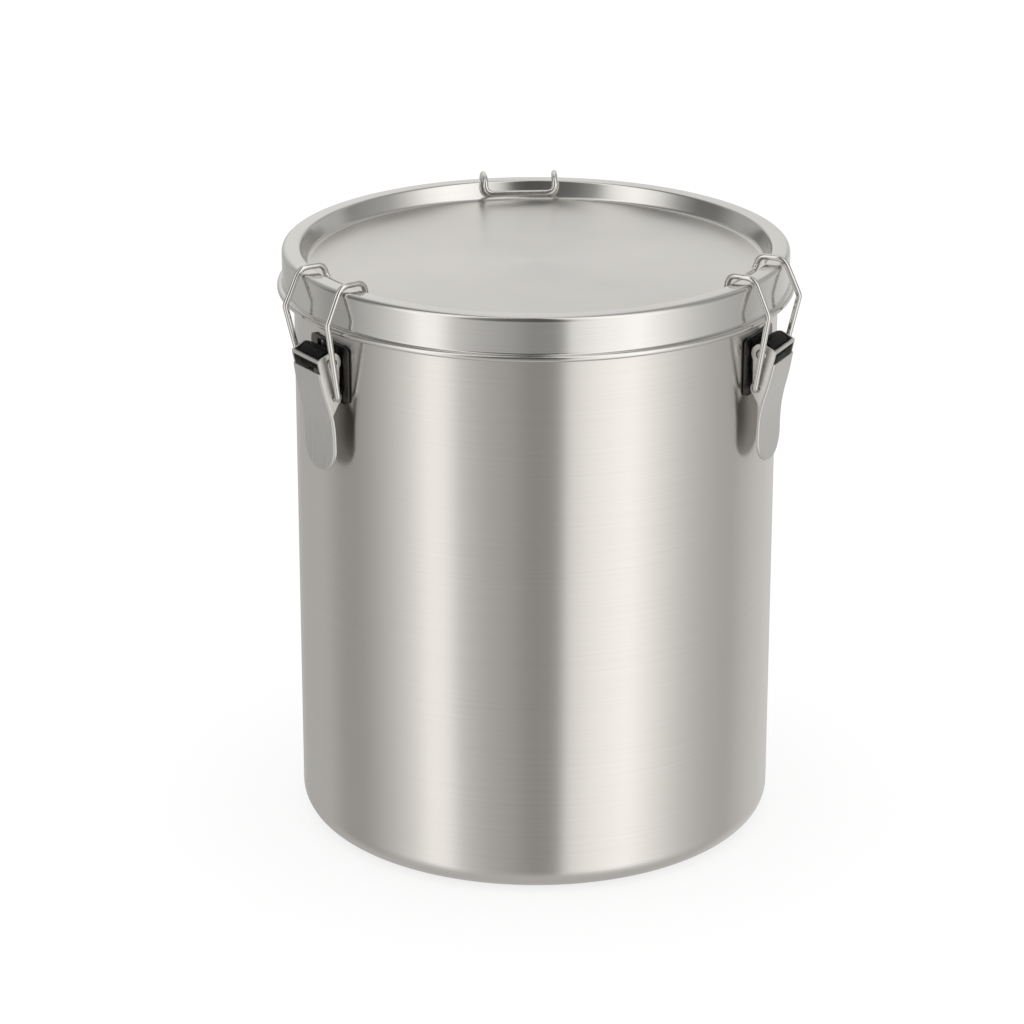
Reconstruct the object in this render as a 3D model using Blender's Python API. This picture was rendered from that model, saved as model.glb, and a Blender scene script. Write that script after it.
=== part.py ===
"""Airtight stainless-steel milk can with a sealed lift-off lid and three wire toggle latches.

Units are metres and +Z is up. The origin is the centre of the base, on the can's axis.
Each latch is drawn once in its own frame: X points out from the can's axis, Y runs along the
wall and Z is up. The three copies stand 120 degrees apart, and the back one is on +Y.
"""

import math

import bmesh
import bpy
from mathutils import Vector

# The can; a rolled edge starts and ends at these angles round its bead
SHEET = 0.0008
BODY_RADIUS = 0.120
BASE_CORNER = 0.0125
RIM_BEAD_RADIUS = 0.0019
RIM_BEAD_AXIS = 0.1212
RIM_BEAD_Z = 0.2906
RIM_ROLL = (-60, 165)

# The lid; its slanted wall meets the sunk panel in a fillet and the crown in a corner
CROWN_Z = 0.298
PANEL_Z = 0.289
WALL_SLOPE = 70
FOOT_RADIUS = 0.0025
CROWN_CORNER_AXIS = 0.1177
CROWN_INNER_CORNER = 0.0014
CROWN_OUTER_CORNER = 0.0025
SKIRT_RADIUS = 0.1256
HEM_OUTER_RADIUS = 0.1282
HEM_BEAD_RADIUS = 0.0016
HEM_Z = 0.2783
HEM_ROLL = (90, -145)

# The gasket in the lid's crown
GASKET_INNER = 0.1179
GASKET_OUTER = 0.1244
GASKET_BOTTOM = 0.2930
GASKET_TOP = 0.2969
GASKET_CHAMFER = 0.0008

# The latches: (distance from the can's axis, height)
LATCH_ANGLES = {"left": 210, "right": 330, "back": 90}
HINGE = (0.1263, 0.2613)
BAIL_PIVOT = (0.1245, 0.2434)
WIRE_RADIUS = 0.0015
RUNNING_GAP = 0.0003

# The lever: a pressed sheet with a tongue, two cheeks and a strap across the top
LEVER_SHEET = 0.0010
CHEEK_OUTER = 0.0123
CHEEK_FOOT_Z = 0.2321
HINGE_LOBE = 0.0052
HINGE_LOBE_SPAN = (215, 75)
PIVOT_LOBE = 0.0036
PIVOT_LOBE_SPAN = (235, 130)
TONGUE_HALF_WIDTH = 0.0142
TONGUE_WIDENS_OVER = 0.025
TONGUE_END_RADIUS = 0.0125
TONGUE_TIP = 0.0004
TONGUE_FACE = (
    (0.1336, 0.2567),
    (0.1315, 0.2465),
    (0.1289, 0.2368),
    (0.1274, 0.2285),
    (0.1269, 0.2180),
    (0.1272, 0.2100),
    (0.1280, 0.2044),
)
STRAP_FACE = 0.1338
STRAP_Z = (0.2620, 0.2638)

# The hinge: a pin through the bracket's ears, in a sleeve
PIN_RADIUS = 0.0015
PIN_HEAD_RADIUS = 0.0026
PIN_HEAD_LENGTH = 0.0008
SLEEVE_RADIUS = 0.0055
SLEEVE_HALF_LENGTH = 0.0096

# The bracket: a plate curved to the wall, with two ears beside a window for the sleeve
PLATE_INNER_RADIUS = 0.12035
PLATE_OUTER_RADIUS = 0.12115
PLATE_HALF_WIDTH = 0.0170
PLATE_Z = (0.2400, 0.2690)
WINDOW_HALF_WIDTH = 0.0097
WINDOW_Z = (0.2550, 0.2675)
EAR_OUTER = 0.0109
EAR_SHEET = 0.0010
EAR_LOBE = 0.0034
EAR_LOBE_SPAN = (-60, 75)
EAR_FOOT_Z = (0.2520, 0.2640)
EAR_ROOT = 0.0002

# The bail: one bent wire, given by the corners of one half as (out, along, up)
BAIL_CORNERS = (
    ((0.1245, 0.0102, 0.2434), 0.0),
    ((0.1245, 0.0150, 0.2434), 0.0022),
    ((0.1326, 0.0195, 0.2830), 0.0040),
    ((0.1246, 0.0188, 0.3007), 0.0070),
    ((0.1118, 0.0182, 0.3007), 0.0045),
    ((0.1094, 0.0180, 0.2932), 0.0045),
)

ROUND_STEPS = 72
HOLE_STEPS = 16
CUTTER_HALF_LENGTH = 0.020
CUTTER_MARGIN = 0.002
MERGE_DISTANCE = 1e-6


def clear_scene():
    for obj in list(bpy.data.objects):
        bpy.data.objects.remove(obj)


def material(name, colour, metallic, roughness):
    made = bpy.data.materials.new(name)
    made.use_nodes = True
    shader = made.node_tree.nodes["Principled BSDF"]
    shader.inputs["Base Color"].default_value = (*colour, 1)
    shader.inputs["Metallic"].default_value = metallic
    shader.inputs["Roughness"].default_value = roughness
    made.diffuse_color = (*colour, 1)
    return made


def arc(centre, radius, start, end, steps):
    """Points on an arc, with its angles in degrees anticlockwise from the first axis."""
    angles = [math.radians(start + (end - start) * i / steps) for i in range(steps + 1)]
    return [(centre[0] + radius * math.cos(a), centre[1] + radius * math.sin(a)) for a in angles]


def mesh_from(name, build):
    shape = bmesh.new()
    build(shape)
    bmesh.ops.recalc_face_normals(shape, faces=shape.faces)
    made = bpy.data.meshes.new(name)
    shape.to_mesh(made)
    shape.free()
    return made


def turned(name, profile, closed=False):
    """A solid of revolution about Z from (radius, height) points."""

    def build(shape):
        verts = [shape.verts.new((radius, 0, z)) for radius, z in profile]
        pairs = list(zip(verts, verts[1:]))
        if closed:
            pairs.append((verts[-1], verts[0]))
        edges = [shape.edges.new(pair) for pair in pairs]
        bmesh.ops.spin(
            shape,
            geom=verts + edges,
            cent=(0, 0, 0),
            axis=(0, 0, 1),
            angle=math.tau,
            steps=ROUND_STEPS,
            use_duplicate=False,
        )
        bmesh.ops.remove_doubles(shape, verts=shape.verts, dist=MERGE_DISTANCE)

    return mesh_from(name, build)


def prism(name, outline, low, high):
    """An outline of (out, up) points, extruded along Y from low to high."""

    def build(shape):
        near, far = ([shape.verts.new((x, y, z)) for x, z in outline] for y in (low, high))
        shape.faces.new(near)
        shape.faces.new(reversed(far))
        for i, vert in enumerate(near):
            j = (i + 1) % len(near)
            shape.faces.new((vert, far[i], far[j], near[j]))

    return mesh_from(name, build)


def rod(name, centre, radius, low, high):
    """A cylinder along Y about the point (out, up)."""
    return prism(name, arc(centre, radius, 0, 360, HOLE_STEPS)[:-1], low, high)


def bored(mesh, centre, radius):
    """The mesh with a hole along Y that leaves running clearance round a pin of this radius."""
    cutter = rod("bore", centre, radius + RUNNING_GAP, -CUTTER_HALF_LENGTH, CUTTER_HALF_LENGTH)
    return combine(mesh, cutter, "DIFFERENCE")


def combine(base, tool, operation):
    """Base joined with tool, or cut by it, as a new mesh."""
    operands = [bpy.data.objects.new(mesh.name, mesh) for mesh in (base, tool)]
    for obj in operands:
        bpy.context.scene.collection.objects.link(obj)
    modifier = operands[0].modifiers.new("combine", "BOOLEAN")
    modifier.operation = operation
    modifier.object = operands[1]
    graph = bpy.context.evaluated_depsgraph_get()
    made = bpy.data.meshes.new_from_object(operands[0].evaluated_get(graph))
    for obj in operands:
        bpy.data.objects.remove(obj)
    return made


def moved_to_pivot(mesh, pivot):
    """The mesh with the pivot (out, up) as its origin."""
    for vert in mesh.vertices:
        vert.co -= Vector((pivot[0], 0, pivot[1]))
    return mesh


def smooth_path(points, per_span):
    """A Catmull-Rom curve through the points."""
    ends = [Vector(p) for p in (points[0], *points, points[-1])]
    path = []
    for before, start, end, after in zip(ends, ends[1:], ends[2:], ends[3:]):
        for i in range(per_span):
            t = i / per_span
            path.append(
                0.5 * (2 * start + (end - before) * t
                       + (2 * before - 5 * start + 4 * end - after) * t ** 2
                       + (3 * start - before - 3 * end + after) * t ** 3)
            )
    return path + [Vector(points[-1])]


def rounded_path(corners, steps=4):
    """The corners' path, with each inner corner rounded to its bend radius."""
    points = [Vector(point) for point, _ in corners]
    path = [points[0]]
    for before, (corner, (_, radius)), after in zip(points, zip(points[1:], corners[1:]), points[2:]):
        come, leave = (corner - before).normalized(), (after - corner).normalized()
        reach = radius * math.tan(come.angle(leave) / 2)
        start, end = corner - come * reach, corner + leave * reach
        for i in range(steps + 1):
            t = i / steps
            path.append((1 - t) ** 2 * start + 2 * t * (1 - t) * corner + t ** 2 * end)
    return path + [points[-1]]


def add(name, mesh, finish, parent=None, location=(0, 0, 0), sharp=35):
    obj = bpy.data.objects.new(name, mesh)
    bpy.context.scene.collection.objects.link(obj)
    obj.parent = parent
    obj.location = location
    if obj.type == "MESH":
        mesh.shade_smooth()
        mesh.set_sharp_from_angle(angle=math.radians(sharp))
    if not mesh.materials:
        mesh.materials.append(finish)
    return obj


def can_body_mesh():
    """A drawn cup with a rounded base corner and a bead rolled outwards round its rim."""
    inside = BODY_RADIUS - SHEET
    corner = (BODY_RADIUS - BASE_CORNER, BASE_CORNER)
    bead = (RIM_BEAD_AXIS, RIM_BEAD_Z)
    profile = [(0, 0), *arc(corner, BASE_CORNER, -90, 0, 5)]
    profile += [(BODY_RADIUS, RIM_BEAD_Z - RIM_BEAD_RADIUS)]
    profile += arc(bead, RIM_BEAD_RADIUS, *RIM_ROLL, 6)
    profile += [(inside, RIM_BEAD_Z), *arc(corner, BASE_CORNER - SHEET, 0, -90, 5), (0, SHEET)]
    return turned("can_body", profile)


def foot_axis():
    """The centre (radius, height) of the fillet between the lid's panel and its slanted wall."""
    slope = math.radians(WALL_SLOPE)
    wall_top = CROWN_CORNER_AXIS - CROWN_INNER_CORNER * math.sin(slope)
    wall_top_z = CROWN_Z - CROWN_INNER_CORNER * (1 - math.cos(slope))
    wall_foot_z = PANEL_Z + FOOT_RADIUS * (1 - math.cos(slope))
    wall_foot = wall_top - (wall_top_z - wall_foot_z) / math.tan(slope)
    return (wall_foot - FOOT_RADIUS * math.sin(slope), PANEL_Z + FOOT_RADIUS)


def lid_mesh():
    """A pressed lid: sunk panel, slanted wall, raised crown, skirt and a hem rolled outwards."""
    foot = foot_axis()
    inner_corner = (CROWN_CORNER_AXIS, CROWN_Z - CROWN_INNER_CORNER)
    outer_corner = (SKIRT_RADIUS - CROWN_OUTER_CORNER, CROWN_Z - CROWN_OUTER_CORNER)
    hem = (HEM_OUTER_RADIUS - HEM_BEAD_RADIUS, HEM_Z)
    flare_radius = hem[0] - SKIRT_RADIUS
    flare = (hem[0], HEM_Z + HEM_BEAD_RADIUS + flare_radius)
    wall_turn = 90 + WALL_SLOPE
    top = [(0, PANEL_Z), *arc(foot, FOOT_RADIUS, -90, WALL_SLOPE - 90, 3)]
    top += arc(inner_corner, CROWN_INNER_CORNER, wall_turn, 90, 2)
    top += arc(outer_corner, CROWN_OUTER_CORNER, 90, 0, 3)
    top += arc(flare, flare_radius, 180, 270, 3)[:-1]
    top += arc(hem, HEM_BEAD_RADIUS, *HEM_ROLL, 6)
    below = [(SKIRT_RADIUS - SHEET, HEM_Z)]
    below += arc(outer_corner, CROWN_OUTER_CORNER - SHEET, 0, 90, 2)
    below += arc(inner_corner, CROWN_INNER_CORNER - SHEET, 90, wall_turn, 2)
    below += [*arc(foot, FOOT_RADIUS + SHEET, WALL_SLOPE - 90, -90, 2), (0, PANEL_Z - SHEET)]
    return turned("lid", top + below)


def gasket_mesh():
    """A moulded ring with chamfered edges that fills the hollow of the crown."""
    profile = [
        (GASKET_INNER + GASKET_CHAMFER, GASKET_BOTTOM),
        (GASKET_OUTER, GASKET_BOTTOM),
        (GASKET_OUTER, GASKET_TOP - 2 * GASKET_CHAMFER),
        (GASKET_OUTER - 2 * GASKET_CHAMFER, GASKET_TOP),
        (GASKET_INNER + GASKET_CHAMFER, GASKET_TOP),
        (GASKET_INNER, GASKET_BOTTOM + 2 * GASKET_CHAMFER),
    ]
    return turned("lid_gasket", profile, closed=True)


def bracket_mesh():
    """A plate that lies on the wall, with two ears that carry the hinge pin."""
    reach = math.degrees(math.asin(PLATE_HALF_WIDTH / PLATE_OUTER_RADIUS))
    outline = arc((0, 0), PLATE_INNER_RADIUS, -reach, reach, 12)
    outline += arc((0, 0), PLATE_OUTER_RADIUS, reach, -reach, 12)

    def build(shape):
        low, high = ([shape.verts.new((x, y, z)) for x, y in outline] for z in PLATE_Z)
        half = len(outline) // 2
        for i, vert in enumerate(low):
            j = (i + 1) % len(low)
            shape.faces.new((vert, low[j], high[j], high[i]))
        for ring in (low, high):
            for i in range(half - 1):
                shape.faces.new((ring[i], ring[i + 1], ring[-2 - i], ring[-1 - i]))

    made = mesh_from("bracket", build)
    foot = PLATE_INNER_RADIUS + EAR_ROOT
    ear = [(foot, EAR_FOOT_Z[0]), *arc(HINGE, EAR_LOBE, *EAR_LOBE_SPAN, 7), (foot, EAR_FOOT_Z[1])]
    for side in (-1, 1):
        low, high = sorted((side * EAR_OUTER, side * (EAR_OUTER - EAR_SHEET)))
        made = combine(made, prism("ear", ear, low, high), "UNION")
    inner, outer = PLATE_INNER_RADIUS - CUTTER_MARGIN, PLATE_OUTER_RADIUS + CUTTER_MARGIN
    bottom, top = WINDOW_Z
    opening = [(inner, bottom), (outer, bottom), (outer, top), (inner, top)]
    window = prism("window", opening, -WINDOW_HALF_WIDTH, WINDOW_HALF_WIDTH)
    return bored(combine(made, window, "DIFFERENCE"), HINGE, PIN_RADIUS)


def tongue_mesh():
    """The lever's tongue: a sheet that follows its face curve, with a round lower end."""
    face = smooth_path(TONGUE_FACE, 3)
    top_z, end_z = face[0].y, face[-1].y

    def half_width(z):
        widened = min(1, (top_z - z) / TONGUE_WIDENS_OVER)
        width = CHEEK_OUTER + (TONGUE_HALF_WIDTH - CHEEK_OUTER) * widened
        above_end = max(z - end_z, TONGUE_TIP)
        if above_end < TONGUE_END_RADIUS:
            width *= math.sqrt(1 - (1 - above_end / TONGUE_END_RADIUS) ** 2)
        return width

    def build(shape):
        rows = []
        for i, point in enumerate(face):
            along = face[min(i + 1, len(face) - 1)] - face[max(i - 1, 0)]
            inward = Vector((along.y, -along.x)).normalized() * LEVER_SHEET
            width = half_width(point.y)
            corners = [(point, -width), (point, width), (point + inward, width), (point + inward, -width)]
            rows.append([shape.verts.new((p.x, y, p.y)) for p, y in corners])
        for upper, lower in zip(rows, rows[1:]):
            for i in range(4):
                j = (i + 1) % 4
                shape.faces.new((upper[i], upper[j], lower[j], lower[i]))
        shape.faces.new(rows[0])
        shape.faces.new(reversed(rows[-1]))

    return mesh_from("lever", build)


def lever_mesh():
    """The tongue with two cheeks, which hold the hinge and the bail, and the strap between them."""
    face = [tuple(point) for point in smooth_path(TONGUE_FACE, 3)]
    behind_face = [(x - LEVER_SHEET / 2, z) for x, z in face if z > CHEEK_FOOT_Z]
    cheek = [(STRAP_FACE, STRAP_Z[0]), *behind_face]
    cheek += arc(BAIL_PIVOT, PIVOT_LOBE, *PIVOT_LOBE_SPAN, 6)
    cheek += arc(HINGE, HINGE_LOBE, *HINGE_LOBE_SPAN, 9)
    cheek += [(STRAP_FACE, STRAP_Z[1])]
    strap_back = STRAP_FACE - LEVER_SHEET
    strap = [(strap_back, STRAP_Z[0]), (STRAP_FACE, STRAP_Z[0])]
    strap += [(STRAP_FACE, STRAP_Z[1]), (strap_back, STRAP_Z[1])]
    made = tongue_mesh()
    for side in (-1, 1):
        low, high = sorted((side * CHEEK_OUTER, side * (CHEEK_OUTER - LEVER_SHEET)))
        made = combine(made, prism("cheek", cheek, low, high), "UNION")
    middle = CHEEK_OUTER - LEVER_SHEET / 2
    made = combine(made, prism("strap", strap, -middle, middle), "UNION")
    made = bored(bored(made, HINGE, PIN_RADIUS), BAIL_PIVOT, WIRE_RADIUS)
    return moved_to_pivot(made, HINGE)


def pin_mesh():
    """A pin with a formed head outside each cheek of the lever."""
    head_start = CHEEK_OUTER + RUNNING_GAP
    head_end = head_start + PIN_HEAD_LENGTH
    inside_head = head_end - PIN_HEAD_LENGTH / 2
    made = rod("hinge_pin", HINGE, PIN_RADIUS, -inside_head, inside_head)
    for side in (-1, 1):
        low, high = sorted((side * head_start, side * head_end))
        made = combine(made, rod("pin_head", HINGE, PIN_HEAD_RADIUS, low, high), "UNION")
    return moved_to_pivot(made, HINGE)


def sleeve_mesh():
    """A black nylon tube on the hinge pin, between the bracket's ears."""
    made = rod("pin_sleeve", HINGE, SLEEVE_RADIUS, -SLEEVE_HALF_LENGTH, SLEEVE_HALF_LENGTH)
    return moved_to_pivot(bored(made, HINGE, PIN_RADIUS), HINGE)


def bail_curve():
    """The bail wire: two ends bent in, two kinked legs and the crossbar that hooks the crown."""
    hook_out, _, hook_up = BAIL_CORNERS[-1][0]
    half = rounded_path((*BAIL_CORNERS, ((hook_out, 0, hook_up), 0)))
    path = half[:-1] + [Vector((p.x, -p.y, p.z)) for p in reversed(half[:-1])]
    made = bpy.data.curves.new("bail", "CURVE")
    made.dimensions = "3D"
    made.bevel_depth = WIRE_RADIUS
    made.bevel_resolution = 2
    made.use_fill_caps = True
    spline = made.splines.new("POLY")
    spline.points.add(len(path) - 1)
    for point, place in zip(spline.points, path):
        point.co = (place.x - BAIL_PIVOT[0], place.y, place.z - BAIL_PIVOT[1], 1)
    return made


def add_latch(side, angle, shapes, finishes):
    """One latch's frame on the can's axis, with its pieces placed at their own pivots."""
    frame = bpy.data.objects.new(f"{side}_latch_frame", None)
    bpy.context.scene.collection.objects.link(frame)
    frame.rotation_euler = (0, 0, math.radians(angle))
    at_hinge = (HINGE[0], 0, HINGE[1])
    at_pivot = (BAIL_PIVOT[0], 0, BAIL_PIVOT[1])
    add(f"{side}_bracket", shapes["bracket"], finishes["wire"], frame)
    add(f"{side}_hinge_pin", shapes["pin"], finishes["wire"], frame, at_hinge)
    add(f"{side}_pin_sleeve", shapes["sleeve"], finishes["nylon"], frame, at_hinge)
    add(f"{side}_lever", shapes["lever"], finishes["lever"], frame, at_hinge)
    add(f"{side}_bail", shapes["bail"], finishes["wire"], frame, at_pivot)


def main():
    clear_scene()
    brushed = material("brushed_steel", (0.62, 0.61, 0.58), 1, 0.32)
    polished = material("polished_steel", (0.68, 0.68, 0.66), 1, 0.18)
    finishes = {
        "wire": material("bright_wire", (0.72, 0.71, 0.69), 1, 0.15),
        "lever": material("lever_steel", (0.55, 0.55, 0.54), 1, 0.30),
        "nylon": material("black_nylon", (0.015, 0.014, 0.014), 0, 0.45),
    }
    silicone = material("silicone", (0.80, 0.80, 0.76), 0, 0.55)
    add("can_body", can_body_mesh(), brushed)
    add("lid", lid_mesh(), polished)
    add("lid_gasket", gasket_mesh(), silicone)
    shapes = {
        "bracket": bracket_mesh(),
        "pin": pin_mesh(),
        "sleeve": sleeve_mesh(),
        "lever": lever_mesh(),
        "bail": bail_curve(),
    }
    for side, angle in LATCH_ANGLES.items():
        add_latch(side, angle, shapes, finishes)


main()
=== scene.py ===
"""The milk can's looks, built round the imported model: turned steel shells, pressed latches and bent wire.

Units are metres, +Z is up, and the can's axis is the Z axis. Each latch is drawn once in its own
frame, where X points out from the can's axis, Y runs along the wall and Z is up.
"""

import math

import bmesh
import bpy
from mathutils import Matrix, Vector


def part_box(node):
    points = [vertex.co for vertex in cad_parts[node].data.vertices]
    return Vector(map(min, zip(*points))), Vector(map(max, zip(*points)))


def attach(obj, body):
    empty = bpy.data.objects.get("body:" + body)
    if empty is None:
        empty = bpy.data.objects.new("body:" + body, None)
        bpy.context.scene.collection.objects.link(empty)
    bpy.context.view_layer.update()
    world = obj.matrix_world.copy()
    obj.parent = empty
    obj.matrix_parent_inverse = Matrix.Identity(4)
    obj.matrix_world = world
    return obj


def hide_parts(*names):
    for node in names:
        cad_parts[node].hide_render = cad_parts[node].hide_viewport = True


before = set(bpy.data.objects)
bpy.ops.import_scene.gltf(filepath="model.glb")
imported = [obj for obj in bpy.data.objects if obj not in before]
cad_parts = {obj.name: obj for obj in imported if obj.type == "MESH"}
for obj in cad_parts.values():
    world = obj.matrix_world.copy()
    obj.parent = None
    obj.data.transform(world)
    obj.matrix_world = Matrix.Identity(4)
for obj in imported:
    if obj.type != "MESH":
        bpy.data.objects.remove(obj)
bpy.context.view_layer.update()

# The view: where the camera stands and what it aims at
CAMERA_DISTANCE = 1.888
CAMERA_ELEVATION = 21.03
CAMERA_AZIMUTH = -4.3
CAMERA_CENTRE = (0.0, 0.0, 0.130)
CAMERA_AIM = (-0.0112, 0.0094, 0.1527)
CAMERA_LENS = 130.1

# The can and its lid
SHEET = 0.0008
BODY_RADIUS = 0.120
BASE_CORNER = 0.0125
RIM_BEAD_RADIUS = 0.0019
RIM_BEAD_AXIS = 0.1212
RIM_BEAD_Z = 0.2906
RIM_ROLL = (-60, 165)
CROWN_Z = 0.298
PANEL_Z = 0.289
WALL_SLOPE = 70
FOOT_RADIUS = 0.0025
CROWN_CORNER_AXIS = 0.1177
CROWN_INNER_CORNER = 0.0014
CROWN_OUTER_CORNER = 0.0025
SKIRT_RADIUS = 0.1256
HEM_OUTER_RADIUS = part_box("lid")[1][0]
HEM_BEAD_RADIUS = 0.0016
HEM_Z = 0.2783
HEM_ROLL = (90, -145)
GASKET_INNER = 0.1179
GASKET_OUTER = 0.1244
GASKET_BOTTOM = 0.2930
GASKET_TOP = 0.2969

# The latches, as (distance from the can's axis, height)
LATCH_ANGLES = {"left": 210, "right": 330, "back": 90}
HINGE = (0.1263, 0.2613)
BAIL_PIVOT = (0.1245, 0.2434)
WIRE_RADIUS = 0.00147
LEVER_SHEET = 0.0010
CHEEK_OUTER = 0.0123
CHEEK_FOOT_Z = 0.2321
HINGE_LOBE = 0.0052
HINGE_LOBE_SPAN = (215, 75)
PIVOT_LOBE = 0.0036
PIVOT_LOBE_SPAN = (235, 130)
TONGUE_HALF_WIDTH = 0.0142
TONGUE_END_LENGTH = 0.0125
TONGUE_LIP = 0.0014
TONGUE_FACE = (
    (0.1336, 0.2567),
    (0.1315, 0.2465),
    (0.1289, 0.2368),
    (0.1274, 0.2285),
    (0.1269, 0.2180),
    (0.1272, 0.2100),
    (0.1280, 0.2044),
)
STRAP_FACE = 0.1338
STRAP_Z = (0.2620, 0.2638)
PIN_RADIUS = 0.0015
PIN_HEAD_RADIUS = 0.0026
PIN_HEAD_START = 0.0126
PIN_HEAD_END = 0.0134
SLEEVE_RADIUS = 0.0055
SLEEVE_HALF_LENGTH = 0.0096
PLATE_INNER_RADIUS = 0.12035
PLATE_OUTER_RADIUS = 0.12115
PLATE_HALF_WIDTH = 0.0170
PLATE_Z = (0.2400, 0.2690)
WINDOW_HALF_WIDTH = 0.0097
WINDOW_Z = (0.2550, 0.2675)
EAR_OUTER = 0.0109
EAR_SHEET = 0.0010
EAR_LOBE = 0.0034
EAR_LOBE_SPAN = (-60, 75)
EAR_FOOT_Z = (0.2520, 0.2640)
BAIL_CORNERS = (
    ((0.1245, 0.0102, 0.2434), 0.0),
    ((0.1245, 0.0150, 0.2434), 0.0022),
    ((0.1326, 0.0195, 0.2830), 0.0040),
    ((0.1246, 0.0188, 0.3007), 0.0070),
    ((0.1118, 0.0182, 0.3007), 0.0045),
    ((0.1094, 0.0180, 0.2932), 0.0045),
    ((0.1094, 0.0, 0.2932), 0.0),
)

TURN_STEPS = 288


# ---- node helpers -------------------------------------------------------------------------------

class Nodes:
    """A thin wrapper that adds nodes and links them by socket name."""

    def __init__(self, tree):
        self.tree = tree
        tree.nodes.clear()

    def add(self, kind, settings=None, **sockets):
        node = self.tree.nodes.new(kind)
        for key, value in (settings or {}).items():
            setattr(node, key, value)
        for key, value in sockets.items():
            self.put(node, key.replace("_", " "), value)
        return node

    def put(self, node, socket, value):
        target = node.inputs[int(socket) if socket.isdigit() else socket]
        if isinstance(value, bpy.types.NodeSocket):
            self.tree.links.new(value, target)
        else:
            target.default_value = value

    def math(self, operation, first, second=0.0):
        node = self.tree.nodes.new("ShaderNodeMath")
        node.operation = operation
        self.put(node, "0", first)
        self.put(node, "1", second)
        return node.outputs[0]

    def stretched_noise(self, coordinates, scale, detail=2.0):
        """Noise whose grain is 1/scale long in each direction."""
        moved = self.add("ShaderNodeMapping", Vector=coordinates, Scale=scale)
        noise = self.add("ShaderNodeTexNoise", Vector=moved.outputs[0], Scale=1.0, Detail=detail)
        return noise.outputs["Fac"]

    def spread(self, value, low, high, from_low=0.3, from_high=0.7):
        """The value's usual range, spread between low and high."""
        node = self.add("ShaderNodeMapRange", Value=value)
        for socket, number in zip((1, 2, 3, 4), (from_low, from_high, low, high)):
            node.inputs[socket].default_value = number
        return node.outputs[0]


def new_material(name):
    made = bpy.data.materials.new(name)
    made.use_nodes = True
    nodes = Nodes(made.node_tree)
    shader = nodes.add("ShaderNodeBsdfPrincipled")
    output = nodes.add("ShaderNodeOutputMaterial")
    made.node_tree.links.new(shader.outputs[0], output.inputs[0])
    return made, nodes, shader


def shaded(nodes, colour, fac, low, high):
    """The colour, darkened and lightened between low and high by a noise value."""
    gain = nodes.spread(fac, low, high)
    scaled = nodes.add("ShaderNodeVectorMath", {"operation": "SCALE"}, Scale=gain)
    scaled.inputs[0].default_value = colour
    return scaled.outputs[0]


# ---- materials ----------------------------------------------------------------------------------

def brushed_steel(name, colour, roughness, anisotropic, grain, polish=None):
    """Steel with brush lines that run round the can's axis.

    Polish is (roughness, inner radius, outer radius): past the inner radius the finish changes to it.
    """
    made, nodes, shader = new_material(name)
    place = nodes.add("ShaderNodeTexCoord").outputs["Object"]
    lines = nodes.stretched_noise(place, grain, 3.0)
    nodes.put(shader, "Base Color", shaded(nodes, colour, lines, 0.975, 1.02))
    nodes.put(shader, "Metallic", 1.0)
    finish = nodes.spread(lines, -0.008, 0.008)
    if polish:
        polished, start, end = polish
        flat = nodes.add("ShaderNodeVectorMath", {"operation": "MULTIPLY"})
        nodes.put(flat, "0", place)
        flat.inputs[1].default_value = (1, 1, 0)
        radius = nodes.add("ShaderNodeVectorMath", {"operation": "LENGTH"})
        nodes.put(radius, "0", flat.outputs[0])
        base = nodes.spread(radius.outputs["Value"], roughness, polished, start, end)
        nodes.put(shader, "Roughness", nodes.math("ADD", finish, base))
    else:
        nodes.put(shader, "Roughness", nodes.math("ADD", finish, roughness))
    nodes.put(shader, "Anisotropic", anisotropic)
    nodes.put(shader, "Anisotropic Rotation", 0.25)
    tangent = nodes.add("ShaderNodeTangent", {"direction_type": "RADIAL", "axis": "Z"})
    nodes.put(shader, "Tangent", tangent.outputs[0])
    relief = nodes.add("ShaderNodeBump", Height=lines, Strength=0.08, Distance=0.00001)
    nodes.put(shader, "Normal", relief.outputs[0])
    return made


def pressed_steel(name, colour, roughness, grain):
    """Satin steel from a press and a tumbler: fine isotropic speckle and faint drawn lines."""
    made, nodes, shader = new_material(name)
    place = nodes.add("ShaderNodeTexCoord").outputs["Object"]
    lines = nodes.stretched_noise(place, grain, 3.0)
    speckle = nodes.stretched_noise(place, (900.0, 900.0, 900.0), 2.0)
    nodes.put(shader, "Base Color", shaded(nodes, colour, lines, 0.95, 1.04))
    nodes.put(shader, "Metallic", 1.0)
    finish = nodes.math("ADD", nodes.spread(lines, -0.03, 0.03), nodes.spread(speckle, -0.015, 0.015))
    nodes.put(shader, "Roughness", nodes.math("ADD", finish, roughness))
    relief = nodes.add("ShaderNodeBump", Height=speckle, Strength=0.15, Distance=0.00001)
    nodes.put(shader, "Normal", relief.outputs[0])
    return made


def moulded(name, colour, roughness, pores, specular, subsurface=0.0):
    """A moulded plastic or rubber skin with a fine grain."""
    made, nodes, shader = new_material(name)
    place = nodes.add("ShaderNodeTexCoord").outputs["Object"]
    grain = nodes.stretched_noise(place, (pores,) * 3, 3.0)
    nodes.put(shader, "Base Color", shaded(nodes, colour, grain, 0.85, 1.15))
    nodes.put(shader, "Roughness", nodes.spread(grain, roughness - 0.06, roughness + 0.08))
    nodes.put(shader, "Specular IOR Level", specular)
    nodes.put(shader, "Subsurface Weight", subsurface)
    nodes.put(shader, "Subsurface Scale", 0.002)
    relief = nodes.add("ShaderNodeBump", Height=grain, Strength=0.3, Distance=0.00005)
    nodes.put(shader, "Normal", relief.outputs[0])
    return made


# ---- shape helpers ------------------------------------------------------------------------------

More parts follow.
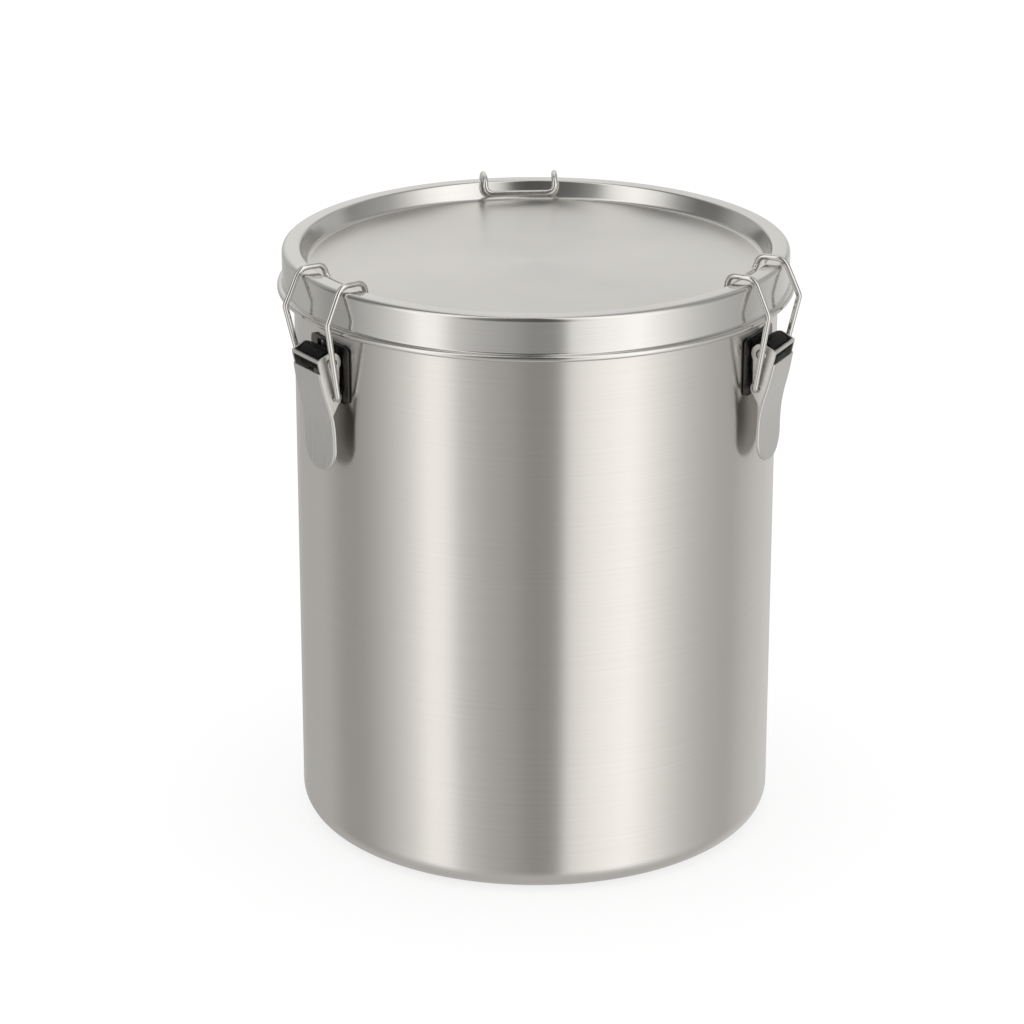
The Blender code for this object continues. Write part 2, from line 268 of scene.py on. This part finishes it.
def arc(centre, radius, start, end, steps):
    """Points on an arc, with its angles in degrees anticlockwise from the first axis."""
    angles = [math.radians(start + (end - start) * i / steps) for i in range(steps + 1)]
    return [(centre[0] + radius * math.cos(a), centre[1] + radius * math.sin(a)) for a in angles]


def add_object(name, data, finish, sharp=40):
    obj = bpy.data.objects.new(name, data)
    bpy.context.scene.collection.objects.link(obj)
    if obj.type == "MESH":
        data.shade_smooth()
        data.set_sharp_from_angle(angle=math.radians(sharp))
    data.materials.append(finish)
    return obj


def mesh_from(name, build):
    shape = bmesh.new()
    build(shape)
    bmesh.ops.recalc_face_normals(shape, faces=shape.faces)
    made = bpy.data.meshes.new(name)
    shape.to_mesh(made)
    shape.free()
    return made


def turned(name, profile, closed=False, steps=TURN_STEPS):
    """A surface of revolution about Z from (radius, height) points."""

    def build(shape):
        verts = [shape.verts.new((radius, 0, z)) for radius, z in profile]
        pairs = list(zip(verts, verts[1:]))
        if closed:
            pairs.append((verts[-1], verts[0]))
        edges = [shape.edges.new(pair) for pair in pairs]
        bmesh.ops.spin(
            shape,
            geom=verts + edges,
            cent=(0, 0, 0),
            axis=(0, 0, 1),
            angle=math.tau,
            steps=steps,
            use_duplicate=False,
        )
        bmesh.ops.remove_doubles(shape, verts=shape.verts, dist=1e-6)

    return mesh_from(name, build)


def rounded_path(corners, steps=10):
    """The corners' path, with each inner corner rounded to its bend radius."""
    points = [Vector(point) for point, _ in corners]
    path = [points[0]]
    for before, (corner, (_, radius)), after in zip(points, zip(points[1:], corners[1:]), points[2:]):
        come, leave = (corner - before).normalized(), (after - corner).normalized()
        reach = radius * math.tan(come.angle(leave) / 2)
        start, end = corner - come * reach, corner + leave * reach
        for i in range(steps + 1):
            t = i / steps
            path.append((1 - t) ** 2 * start + 2 * t * (1 - t) * corner + t ** 2 * end)
    return path + [points[-1]]


def smooth_path(points, per_span):
    """A Catmull-Rom curve through the points."""
    ends = [Vector(p) for p in (points[0], *points, points[-1])]
    path = []
    for before, start, end, after in zip(ends, ends[1:], ends[2:], ends[3:]):
        for i in range(per_span):
            t = i / per_span
            path.append(
                0.5 * (2 * start + (end - before) * t
                       + (2 * before - 5 * start + 4 * end - after) * t ** 2
                       + (3 * start - before - 3 * end + after) * t ** 3)
            )
    return path + [Vector(points[-1])]


def wire(name, path, radius):
    """A round wire along the path, as a mesh with its ends capped."""
    curve = bpy.data.curves.new(name, "CURVE")
    curve.dimensions = "3D"
    curve.bevel_depth = radius
    curve.bevel_resolution = 6
    curve.use_fill_caps = True
    spline = curve.splines.new("POLY")
    spline.points.add(len(path) - 1)
    for point, place in zip(spline.points, path):
        point.co = (*place, 1)
    return as_mesh(name, curve)


def as_mesh(name, data):
    """The evaluated mesh of a curve or a mesh with nothing left on it."""
    maker = bpy.data.objects.new(name, data)
    bpy.context.scene.collection.objects.link(maker)
    graph = bpy.context.evaluated_depsgraph_get()
    made = bpy.data.meshes.new_from_object(maker.evaluated_get(graph))
    bpy.data.objects.remove(maker)
    made.name = name
    return made


def plate(name, outlines, low, high, edge=0.00012):
    """A flat plate with rounded edges from (out, up) outlines, the first outside and the rest holes."""
    curve = bpy.data.curves.new(name, "CURVE")
    curve.dimensions = "2D"
    curve.fill_mode = "BOTH"
    curve.extrude = abs(high - low) / 2 - edge
    curve.bevel_depth = edge
    curve.bevel_resolution = 2
    curve.offset = -edge
    for outline in outlines:
        spline = curve.splines.new("POLY")
        spline.points.add(len(outline) - 1)
        for point, (x, z) in zip(spline.points, outline):
            point.co = (x, z, 0, 1)
        spline.use_cyclic_u = True
    made = as_mesh(name, curve)
    stand = Matrix(((1, 0, 0, 0), (0, 0, -1, (low + high) / 2), (0, 1, 0, 0), (0, 0, 0, 1)))
    made.transform(stand)
    return made


def joined(name, meshes):
    """One mesh that holds all the given ones."""
    shape = bmesh.new()
    for mesh in meshes:
        shape.from_mesh(mesh)
    made = bpy.data.meshes.new(name)
    shape.to_mesh(made)
    shape.free()
    return made


# ---- the can and its lid ------------------------------------------------------------------------

def can_body_mesh():
    """The drawn cup, with its rim rolled outwards and a seam left where the roll meets the wall."""
    inside = BODY_RADIUS - SHEET
    corner = (BODY_RADIUS - BASE_CORNER, BASE_CORNER)
    bead = (RIM_BEAD_AXIS, RIM_BEAD_Z)
    profile = [(0, 0), (0.06, 0), *arc(corner, BASE_CORNER, -90, 0, 16)]
    profile += [(BODY_RADIUS, z) for z in (0.10, 0.20, RIM_BEAD_Z - RIM_BEAD_RADIUS)]
    profile += arc(bead, RIM_BEAD_RADIUS, *RIM_ROLL, 18)
    profile += [(inside, z) for z in (RIM_BEAD_Z, 0.20, 0.10)]
    profile += [*arc(corner, BASE_CORNER - SHEET, 0, -90, 14), (0.06, SHEET), (0, SHEET)]
    return turned("can_body_shell", profile)


def foot_axis():
    """The centre (radius, height) of the fillet between the lid's panel and its slanted wall."""
    slope = math.radians(WALL_SLOPE)
    wall_top = CROWN_CORNER_AXIS - CROWN_INNER_CORNER * math.sin(slope)
    wall_top_z = CROWN_Z - CROWN_INNER_CORNER * (1 - math.cos(slope))
    wall_foot_z = PANEL_Z + FOOT_RADIUS * (1 - math.cos(slope))
    wall_foot = wall_top - (wall_top_z - wall_foot_z) / math.tan(slope)
    return (wall_foot - FOOT_RADIUS * math.sin(slope), PANEL_Z + FOOT_RADIUS)


def lid_mesh():
    """The pressed lid: sunk panel, slanted wall, raised crown, skirt and a hem rolled outwards."""
    foot = foot_axis()
    inner_corner = (CROWN_CORNER_AXIS, CROWN_Z - CROWN_INNER_CORNER)
    outer_corner = (SKIRT_RADIUS - CROWN_OUTER_CORNER, CROWN_Z - CROWN_OUTER_CORNER)
    hem = (HEM_OUTER_RADIUS - HEM_BEAD_RADIUS, HEM_Z)
    flare_radius = hem[0] - SKIRT_RADIUS
    flare = (hem[0], HEM_Z + HEM_BEAD_RADIUS + flare_radius)
    wall_turn = 90 + WALL_SLOPE
    top = [(0, PANEL_Z), (0.05, PANEL_Z), *arc(foot, FOOT_RADIUS, -90, WALL_SLOPE - 90, 10)]
    top += arc(inner_corner, CROWN_INNER_CORNER, wall_turn, 90, 7)
    top += arc(outer_corner, CROWN_OUTER_CORNER, 90, 0, 10)
    top += arc(flare, flare_radius, 180, 270, 8)[:-1]
    top += arc(hem, HEM_BEAD_RADIUS, *HEM_ROLL, 18)
    below = [(SKIRT_RADIUS - SHEET, HEM_Z)]
    below += arc(outer_corner, CROWN_OUTER_CORNER - SHEET, 0, 90, 8)
    below += arc(inner_corner, CROWN_INNER_CORNER - SHEET, 90, wall_turn, 5)
    below += arc(foot, FOOT_RADIUS + SHEET, WALL_SLOPE - 90, -90, 8)
    below += [(0.05, PANEL_Z - SHEET), (0, PANEL_Z - SHEET)]
    return turned("lid_shell", top + below)


def gasket_mesh():
    """The moulded ring in the crown, with a groove along its underside."""
    middle = (GASKET_INNER + GASKET_OUTER) / 2
    edge = 0.0006
    profile = [
        *arc((GASKET_INNER + 2 * edge, GASKET_BOTTOM + edge), edge, 180, 270, 4),
        *arc((middle, GASKET_BOTTOM - 0.0006), 0.0011, 150, 30, 6),
        *arc((GASKET_OUTER - edge, GASKET_BOTTOM + edge), edge, -90, 0, 4),
        *arc((GASKET_OUTER - 3 * edge, GASKET_TOP - 3 * edge), 3 * edge, 0, 90, 6),
        *arc((GASKET_INNER + 4 * edge, GASKET_TOP - edge), edge, 90, 150, 3),
    ]
    return turned("gasket_ring", profile, closed=True)


# ---- the latches --------------------------------------------------------------------------------

def path_frame(path, length):
    """The place and the inward direction at a length along a path of (out, up) points."""
    for start, end in zip(path, path[1:]):
        span = (end - start).length
        if length <= span or end is path[-1]:
            along = (end - start).normalized()
            return start + along * length, Vector((along.y, -along.x))
        length -= span


def tongue_mesh():
    """The lever's tongue: a bent sheet whose side edges and round end are turned in by a small lip."""
    path = smooth_path(TONGUE_FACE, 10)
    total = sum((b - a).length for a, b in zip(path, path[1:]))
    straight = total - TONGUE_END_LENGTH
    across = [0.0, 0.35, 0.7, 0.86] + [1 - TONGUE_LIP / TONGUE_HALF_WIDTH * (1 - i / 6) for i in range(7)]

    def half_width(length):
        return CHEEK_OUTER + (TONGUE_HALF_WIDTH - CHEEK_OUTER) * min(1, length / 0.025)

    def place(length, side, share):
        place_on, inward = path_frame(path, length)
        rim = max(0.0, share * TONGUE_HALF_WIDTH - (TONGUE_HALF_WIDTH - TONGUE_LIP))
        drop = TONGUE_LIP - math.sqrt(max(0.0, TONGUE_LIP ** 2 - rim ** 2))
        spot = place_on + inward * (drop + LEVER_SHEET * 0.1)
        return (spot.x, side, spot.y)

    def build(shape):
        rows = []
        steps = 36
        for i in range(steps + 1):
            length = straight * i / steps
            width = half_width(length)
            shares = [-a for a in reversed(across)] + across[1:]
            rows.append([shape.verts.new(place(length, s * width, abs(s))) for s in shares])
        for first, second in zip(rows, rows[1:]):
            for i in range(len(first) - 1):
                shape.faces.new((first[i], first[i + 1], second[i + 1], second[i]))
        middle = len(across) - 1
        rings = [[rows[-1][middle]]]
        turns = 28
        for k, share in enumerate(across[1:], 1):
            ring = [rows[-1][middle - k]]
            for j in range(1, turns):
                turn = math.pi * j / turns
                length = straight + TONGUE_END_LENGTH * share * math.sin(turn)
                ring.append(shape.verts.new(place(length, -math.cos(turn) * share * TONGUE_HALF_WIDTH, share)))
            rings.append(ring + [rows[-1][middle + k]])
        for j in range(turns):
            shape.faces.new((rings[0][0], rings[1][j], rings[1][j + 1]))
        for inner, outer in zip(rings[1:], rings[2:]):
            for j in range(turns):
                shape.faces.new((inner[j], outer[j], outer[j + 1], inner[j + 1]))

    return thickened("tongue", mesh_from("tongue", build), LEVER_SHEET * 0.9)


def thickened(name, mesh, thickness, bevel=0.00018):
    """A sheet given its thickness behind its face, with its cut edges rounded."""
    maker = bpy.data.objects.new(name, mesh)
    bpy.context.scene.collection.objects.link(maker)
    solid = maker.modifiers.new("thickness", "SOLIDIFY")
    solid.thickness = thickness
    solid.offset = -1
    soft = maker.modifiers.new("edges", "BEVEL")
    soft.width = bevel
    soft.segments = 2
    soft.limit_method = "ANGLE"
    soft.angle_limit = math.radians(50)
    graph = bpy.context.evaluated_depsgraph_get()
    made = bpy.data.meshes.new_from_object(maker.evaluated_get(graph))
    bpy.data.objects.remove(maker)
    return made


def lever_mesh():
    """The tongue with two cheeks, which hold the hinge and the bail, and the strap between them."""
    face = [tuple(point) for point in smooth_path(TONGUE_FACE, 8)]
    behind_face = [(x - 0.0011, z) for x, z in face if z > CHEEK_FOOT_Z]
    cheek = [(STRAP_FACE - 0.0002, STRAP_Z[0] - 0.0004), *behind_face]
    cheek += arc(BAIL_PIVOT, PIVOT_LOBE, *PIVOT_LOBE_SPAN, 16)
    cheek += arc(HINGE, HINGE_LOBE, *HINGE_LOBE_SPAN, 24)
    cheek += [(STRAP_FACE - 0.0012, STRAP_Z[1] + 0.0002), (STRAP_FACE - 0.0002, STRAP_Z[1] - 0.0006)]
    holes = [arc(HINGE, PIN_RADIUS + 0.0002, 0, 360, 24)[:-1]]
    holes.append(arc(BAIL_PIVOT, WIRE_RADIUS + 0.0002, 0, 360, 24)[:-1])
    pieces = [tongue_mesh()]
    for side in (-1, 1):
        low, high = sorted((side * CHEEK_OUTER, side * (CHEEK_OUTER - LEVER_SHEET)))
        pieces.append(plate("cheek", [cheek, *holes], low, high))
    back = STRAP_FACE - LEVER_SHEET
    strap = [(back, STRAP_Z[0]), (STRAP_FACE, STRAP_Z[0]), (STRAP_FACE, STRAP_Z[1]), (back, STRAP_Z[1])]
    reach = CHEEK_OUTER - 0.0001
    pieces.append(plate("strap", [strap], -reach, reach, 0.0003))
    return joined("lever", pieces)


def along_latch(mesh, centre):
    """A shape turned about Z, laid along the latch's Y axis at the point (out, up)."""
    mesh.transform(Matrix.Translation((centre[0], 0, centre[1])) @ Matrix.Rotation(math.radians(-90), 4, "X"))
    return mesh


def pin_mesh():
    """The hinge pin, with a domed head formed at each end."""
    head = [(0, PIN_HEAD_END), (PIN_HEAD_RADIUS * 0.55, PIN_HEAD_END - 0.00004)]
    head += [(PIN_HEAD_RADIUS * 0.85, PIN_HEAD_END - 0.0002), (PIN_HEAD_RADIUS, PIN_HEAD_END - 0.0005)]
    head += [(PIN_HEAD_RADIUS, PIN_HEAD_START + 0.0001), (PIN_HEAD_RADIUS - 0.0001, PIN_HEAD_START)]
    head += [(PIN_RADIUS, PIN_HEAD_START)]
    profile = head + [(radius, -along) for radius, along in reversed(head)]
    return along_latch(turned("hinge_pin", profile, steps=40), HINGE)


def sleeve_mesh():
    """The sleeve on the hinge pin, with chamfered ends and a bore for the pin; its near-black colour is
    painted shade and painted reflection.
    """
    bore = PIN_RADIUS + 0.0002
    end = [(bore, SLEEVE_HALF_LENGTH - 0.0003), (bore + 0.0003, SLEEVE_HALF_LENGTH)]
    end += arc((SLEEVE_RADIUS - 0.0007, SLEEVE_HALF_LENGTH - 0.0007), 0.0007, 90, 0, 5)
    profile = end + [(radius, -along) for radius, along in reversed(end)]
    return along_latch(turned("pin_sleeve", profile, closed=True, steps=56), HINGE)


def bracket_mesh():
    """The plate on the wall, with a window for the sleeve and two ears."""
    reach = math.degrees(math.asin(PLATE_HALF_WIDTH / PLATE_OUTER_RADIUS))
    window_reach = math.degrees(math.asin(WINDOW_HALF_WIDTH / PLATE_OUTER_RADIUS))
    columns = [reach * (i / 24) for i in range(-24, 25)]
    columns = sorted(columns + [-window_reach, window_reach])
    heights = [PLATE_Z[0] + (PLATE_Z[1] - PLATE_Z[0]) * i / 40 for i in range(41)]
    heights = sorted(heights + list(WINDOW_Z))
    corner = 0.003

    def build(shape):
        grid = {}
        for i, angle in enumerate(columns):
            for j, z in enumerate(heights):
                side = angle / reach * PLATE_HALF_WIDTH
                in_side = max(0.0, abs(side) - (PLATE_HALF_WIDTH - corner))
                in_end = max(0.0, PLATE_Z[0] + corner - z, z - (PLATE_Z[1] - corner))
                squeeze = 1.0
                if in_side > 0 and in_end > 0:
                    squeeze = (PLATE_HALF_WIDTH - corner + math.sqrt(max(0, corner ** 2 - in_end ** 2)))
                    squeeze /= PLATE_HALF_WIDTH
                turn = math.radians(angle * squeeze)
                grid[i, j] = shape.verts.new(
                    (PLATE_OUTER_RADIUS * math.cos(turn), PLATE_OUTER_RADIUS * math.sin(turn), z)
                )
        for i in range(len(columns) - 1):
            for j in range(len(heights) - 1):
                inside = abs(columns[i] + columns[i + 1]) / 2 < window_reach
                middle = (heights[j] + heights[j + 1]) / 2
                if not (inside and WINDOW_Z[0] < middle < WINDOW_Z[1]):
                    shape.faces.new((grid[i, j], grid[i + 1, j], grid[i + 1, j + 1], grid[i, j + 1]))

    sheet = mesh_from("bracket_plate", build)
    foot = PLATE_OUTER_RADIUS - 0.0004
    ear = [(foot, EAR_FOOT_Z[0]), *arc(HINGE, EAR_LOBE, *EAR_LOBE_SPAN, 20), (foot, EAR_FOOT_Z[1])]
    hole = arc(HINGE, PIN_RADIUS + 0.0002, 0, 360, 24)[:-1]
    pieces = [thickened("bracket_plate", sheet, PLATE_OUTER_RADIUS - PLATE_INNER_RADIUS)]
    for side in (-1, 1):
        low, high = sorted((side * EAR_OUTER, side * (EAR_OUTER - EAR_SHEET)))
        pieces.append(plate("ear", [ear, hole], low, high))
    return joined("bracket", pieces)


def bail_mesh():
    """The bail wire: two ends bent in, two kinked legs and the crossbar that hooks the crown."""
    half = rounded_path(BAIL_CORNERS)[:-1]
    return wire("bail", half + [Vector((p.x, -p.y, p.z)) for p in reversed(half)], WIRE_RADIUS)


def add_latch(side, angle, finishes):
    """One latch's detailed pieces, turned to its place and riding on their bodies."""
    shapes = {
        # The bracket's finish carries painted shade and painted reflection in its near-black colour.
        "bracket": (bracket_mesh(), "can", "bracket_steel"),
        "hinge_pin": (pin_mesh(), "can", "wire_steel"),
        # The sleeve's near-black finish is painted shade and painted reflection.
        "pin_sleeve": (sleeve_mesh(), "can", "black_nylon"),
        "lever": (lever_mesh(), f"{side}_lever", "lever_steel"),
        "bail": (bail_mesh(), f"{side}_bail", "wire_steel"),
    }
    for kind, (mesh, body, slot) in shapes.items():
        mesh.transform(Matrix.Rotation(math.radians(angle), 4, "Z"))
        piece = add_object(f"{side}_{kind}_detail", mesh, finishes[slot])
        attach(piece, body)
        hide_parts(f"{side}_{kind}")


def add_turned_piece(name, mesh, body, node, finish):
    piece = add_object(name, mesh, finish, sharp=50)
    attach(piece, body)
    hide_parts(node)
    return piece


# ---- camera, light and floor --------------------------------------------------------------------

def add_camera():
    camera = bpy.data.cameras.new("camera")
    camera.lens = CAMERA_LENS
    camera.sensor_width = 36.0
    camera.clip_end = 50.0
    obj = bpy.data.objects.new("camera", camera)
    bpy.context.scene.collection.objects.link(obj)
    azimuth, elevation = math.radians(CAMERA_AZIMUTH), math.radians(CAMERA_ELEVATION)
    back = Vector((
        math.sin(azimuth) * math.cos(elevation),
        -math.cos(azimuth) * math.cos(elevation),
        math.sin(elevation),
    ))
    obj.location = Vector(CAMERA_CENTRE) + back * CAMERA_DISTANCE
    aim = Vector(CAMERA_AIM) - obj.location
    obj.rotation_euler = aim.to_track_quat("-Z", "Y").to_euler()
    bpy.context.scene.camera = obj


# The studio as the steel sees it: brightness by azimuth, in degrees from the front towards +X.
# One set of bands stands round the can below the horizon, one above it, and the ground is plain.
LOWER_BANDS = (
    (-180, 0.62), (-158, 0.50), (-140, 0.55), (-126, 0.58), (-110, 0.42), (-96, 0.44), (-80, 0.66),
    (-66, 0.94), (-56, 1.34), (-48, 1.28), (-40, 0.78), (-28, 0.58), (-16, 0.48), (-6, 0.35),
    (4, 0.36), (8, 0.50), (11, 1.00), (24, 1.26), (42, 1.46), (58, 1.06), (72, 0.78), (86, 0.62),
    (104, 0.52), (114, 0.62), (126, 0.70), (150, 0.74), (180, 0.62),
)
UPPER_BANDS = (
    (-180, 0.90), (-164, 0.80), (-140, 0.46), (-122, 0.44), (-108, 0.20), (-94, 0.20), (-82, 0.46),
    (-70, 1.08), (-58, 1.42), (-45, 1.15), (-36, 0.36), (-24, 0.17), (0, 0.10), (8, 0.14),
    (14, 0.90), (28, 1.38), (42, 1.48), (54, 1.30), (66, 0.80), (76, 0.48), (92, 0.38), (102, 0.30),
    (112, 0.56), (126, 0.50), (150, 0.50), (166, 0.80), (180, 0.90),
)
GROUND = 0.60
LOWER_TO_UPPER = (-6, 14)
GROUND_TO_LOWER = (-58, -34)
STUDIO_TINT = (1.0, 0.985, 0.965, 1)
DAYLIGHT = (1.0, 1.0, 1.0, 1)


def ramp(nodes, value, stops):
    """A colour ramp through (degrees, brightness) stops, for a value in radians."""
    low, high = math.radians(stops[0][0]), math.radians(stops[-1][0])
    share = nodes.add("ShaderNodeMapRange", Value=value)
    share.inputs[1].default_value, share.inputs[2].default_value = low, high
    node = nodes.add("ShaderNodeValToRGB", Fac=share.outputs[0])
    elements = node.color_ramp.elements
    while len(elements) < len(stops):
        elements.new(0.5)
    for element, (place, bright) in zip(elements, stops):
        element.position = (math.radians(place) - low) / (high - low)
        element.color = (bright, bright, bright, 1)
    return node.outputs[0]


def blend(nodes, rise, span, under, over):
    """Under below the span of elevations, over above it, and a smooth change between."""
    share = nodes.add("ShaderNodeMapRange", {"interpolation_type": "SMOOTHSTEP"}, Value=rise)
    share.inputs[1].default_value, share.inputs[2].default_value = map(math.radians, span)
    mixed = nodes.add("ShaderNodeMix", {"data_type": "FLOAT"})
    for socket, value in enumerate((share.outputs[0], 0, under, over)):
        if socket != 1:
            nodes.put(mixed, str(socket), value)
    return mixed.outputs[0]


def add_studio():
    world = bpy.data.worlds.new("studio")
    bpy.context.scene.world = world
    world.use_nodes = True
    nodes = Nodes(world.node_tree)
    direction = nodes.add("ShaderNodeTexCoord").outputs["Generated"]
    parts = nodes.add("ShaderNodeSeparateXYZ", Vector=direction)
    azimuth = nodes.math("ARCTAN2", parts.outputs[0], nodes.math("MULTIPLY", parts.outputs[1], -1.0))
    rise = nodes.math("ARCSINE", parts.outputs[2])
    lower, upper = ramp(nodes, azimuth, LOWER_BANDS), ramp(nodes, azimuth, UPPER_BANDS)
    light = blend(nodes, rise, GROUND_TO_LOWER, GROUND, blend(nodes, rise, LOWER_TO_UPPER, lower, upper))
    mirrored = nodes.add("ShaderNodeBackground", Color=STUDIO_TINT, Strength=light)
    plain = nodes.add("ShaderNodeBackground", Color=DAYLIGHT, Strength=1.08)
    is_mirrored = nodes.add("ShaderNodeLightPath").outputs["Is Glossy Ray"]
    mixed = nodes.add("ShaderNodeMixShader")
    for socket, value in enumerate((is_mirrored, plain.outputs[0], mirrored.outputs[0])):
        world.node_tree.links.new(value, mixed.inputs[socket])
    output = nodes.add("ShaderNodeOutputWorld")
    world.node_tree.links.new(mixed.outputs[0], output.inputs[0])


def add_floor():
    made, nodes, shader = new_material("pale_floor")
    nodes.put(shader, "Base Color", (0.3, 0.3, 0.3, 1))
    nodes.put(shader, "Emission Color", (1.0, 1.0, 1.0, 1))
    nodes.put(shader, "Emission Strength", 0.72)
    nodes.put(shader, "Roughness", 0.9)
    nodes.put(shader, "Specular IOR Level", 0.0)

    def build(shape):
        bmesh.ops.create_grid(shape, x_segments=1, y_segments=1, size=12.0)

    floor = add_object("floor", mesh_from("floor", build), made)
    floor.visible_glossy = False


def main():
    bpy.context.scene.view_settings.view_transform = "Standard"
    add_camera()
    add_studio()
    add_floor()
    finishes = {
        "can_steel": brushed_steel("can_steel", (0.66, 0.642, 0.615), 0.235, 0.78, (12.0, 12.0, 2400.0)),
        "lid_steel": brushed_steel(
            "lid_steel", (0.67, 0.66, 0.64), 0.30, 0.5, (30.0, 30.0, 2200.0), (0.15, 0.110, 0.116)
        ),
        # The bracket's near-black colour is painted shade and painted reflection: the plate and its ears sit
        # in the latch's shade and mirror dark surroundings.
        "bracket_steel": pressed_steel("bracket_steel", (0.10, 0.095, 0.09), 0.30, (60.0, 60.0, 500.0)),
        "lever_steel": pressed_steel("lever_steel", (0.66, 0.65, 0.63), 0.36, (900.0, 900.0, 60.0)),
        "wire_steel": pressed_steel("wire_steel", (0.70, 0.69, 0.67), 0.16, (400.0, 400.0, 120.0)),
        # The sleeve's near-black colour is painted shade and painted reflection for the dark at the top of
        # each lever.
        "black_nylon": moulded("black_nylon", (0.004, 0.004, 0.004), 0.42, 1400.0, 0.12),
        "silicone": moulded("silicone", (0.82, 0.82, 0.78), 0.5, 700.0, 0.5, 0.3),
    }
    add_turned_piece("can_body_shell", can_body_mesh(), "can", "can_body", finishes["can_steel"])
    add_turned_piece("lid_shell", lid_mesh(), "lid", "lid", finishes["lid_steel"])
    add_turned_piece("gasket_ring", gasket_mesh(), "lid", "lid_gasket", finishes["silicone"])
    for side, angle in LATCH_ANGLES.items():
        add_latch(side, angle, finishes)


main()
